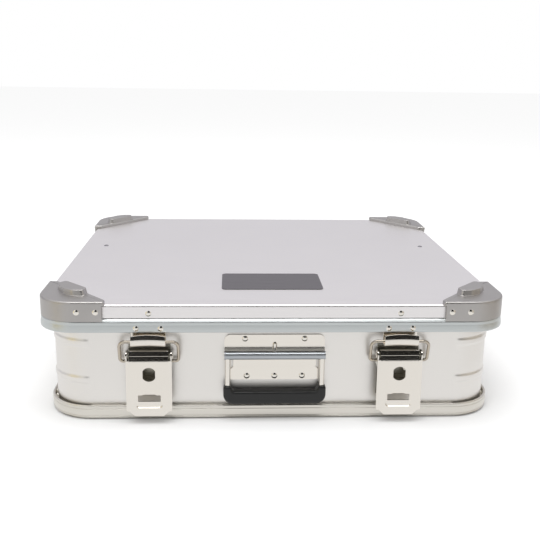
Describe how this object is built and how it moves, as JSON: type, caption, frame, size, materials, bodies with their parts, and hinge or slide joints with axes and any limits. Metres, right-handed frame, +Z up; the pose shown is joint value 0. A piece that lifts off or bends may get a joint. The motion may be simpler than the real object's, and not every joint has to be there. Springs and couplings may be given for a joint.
{
  "type": "aluminium transport case",
  "caption": "Flat aluminium transport case with a hinged lid, cast stacking corners, draw latches with padlock slots and a sprung drop handle.",
  "frame": {"origin": "on the floor under the middle of the case", "axes": "+X to the right along the width, +Y from the latch side to the hinge side, +Z up"},
  "size_m": [0.5936, 0.5818, 0.164],
  "materials": {
    "body_sheet": "satin sheet",
    "rail": "extruded, satin",
    "lid_sheet": "satin sheet",
    "skirt": "bright rolled",
    "cast_corner": "die cast, matt",
    "grip": "fine grain",
    "gasket": "matt",
    "plate": "dark grey, matt",
    "rivet": "polished",
    "stainless": "polished"
  },
  "bodies": {
    "case_body": {"base_rail": "rail", "base_panel": "body_sheet", "body_shell": "body_sheet", "body_rim": "rail", "latch_base_left": "stainless", "latch_base_right": "stainless", "latch_pin_left": "stainless", "latch_pin_right": "stainless", "latch_rivets": "rivet", "handle_upper_plate": "stainless", "handle_hinge_plate": "stainless", "handle_pin": "stainless", "handle_spring_left": "stainless", "handle_spring_right": "stainless", "handle_rivets": "rivet", "hinge_body_leaf_left": "stainless", "hinge_body_leaf_right": "stainless", "hinge_pin_left": "stainless", "hinge_pin_right": "stainless", "hinge_body_rivets": "rivet", "strap_anchor_body_left": "stainless", "strap_anchor_body_right": "stainless", "strap_anchor_body_rivets": "rivet"},
    "lid": {"lid_sheet": "lid_sheet", "lid_frame": "skirt", "lid_gasket": "gasket", "lid_plate": "plate", "corner_front_left": "cast_corner", "corner_front_right": "cast_corner", "corner_rear_right": "cast_corner", "corner_rear_left": "cast_corner", "corner_rivets": "rivet", "rim_rivets": "rivet", "hook_left": "stainless", "hook_right": "stainless", "hook_rivets": "rivet", "hinge_lid_leaf_left": "stainless", "hinge_lid_leaf_right": "stainless", "hinge_lid_rivets": "rivet", "strap_anchor_lid_left": "stainless", "strap_anchor_lid_right": "stainless", "strap_anchor_lid_rivets": "rivet"},
    "handle": {"handle_tube": "stainless", "handle_bar": "stainless", "handle_grip": "grip"},
    "lever_left": {"latch_lever_left": "stainless"},
    "bail_left": {"latch_bail_left": "stainless"},
    "lever_right": {"latch_lever_right": "stainless"},
    "bail_right": {"latch_bail_right": "stainless"}
  },
  "joints": [
    {"name": "lid_hinge", "type": "hinge", "parent": "case_body", "child": "lid", "pos_m": [0, 0.287, 0.121], "axis": [-1, 0, 0], "range_deg": [0, 100]},
    {"name": "handle_swing", "type": "hinge", "parent": "case_body", "child": "handle", "pos_m": [0, -0.277, 0.087], "axis": [-1, 0, 0], "range_deg": [0, 90], "stiffness_Nm_per_rad": 0.12},
    {"name": "lever_left", "type": "hinge", "parent": "case_body", "child": "lever_left", "pos_m": [-0.156, -0.2775, 0.087], "axis": [-1, 0, 0], "range_deg": [0, 120]},
    {"name": "bail_left", "type": "hinge", "parent": "lever_left", "child": "bail_left", "pos_m": [-0.156, -0.27369, 0.07918], "axis": [1, 0, 0], "range_deg": [0, 98]},
    {"name": "lever_right", "type": "hinge", "parent": "case_body", "child": "lever_right", "pos_m": [0.156, -0.2775, 0.087], "axis": [-1, 0, 0], "range_deg": [0, 120]},
    {"name": "bail_right", "type": "hinge", "parent": "lever_right", "child": "bail_right", "pos_m": [0.156, -0.27369, 0.07918], "axis": [1, 0, 0], "range_deg": [0, 98]}
  ],
  "couplings": [
    {"joint": "bail_left", "follows": "lever_left", "ratio": 0.81},
    {"joint": "bail_right", "follows": "lever_right", "ratio": 0.81}
  ]
}
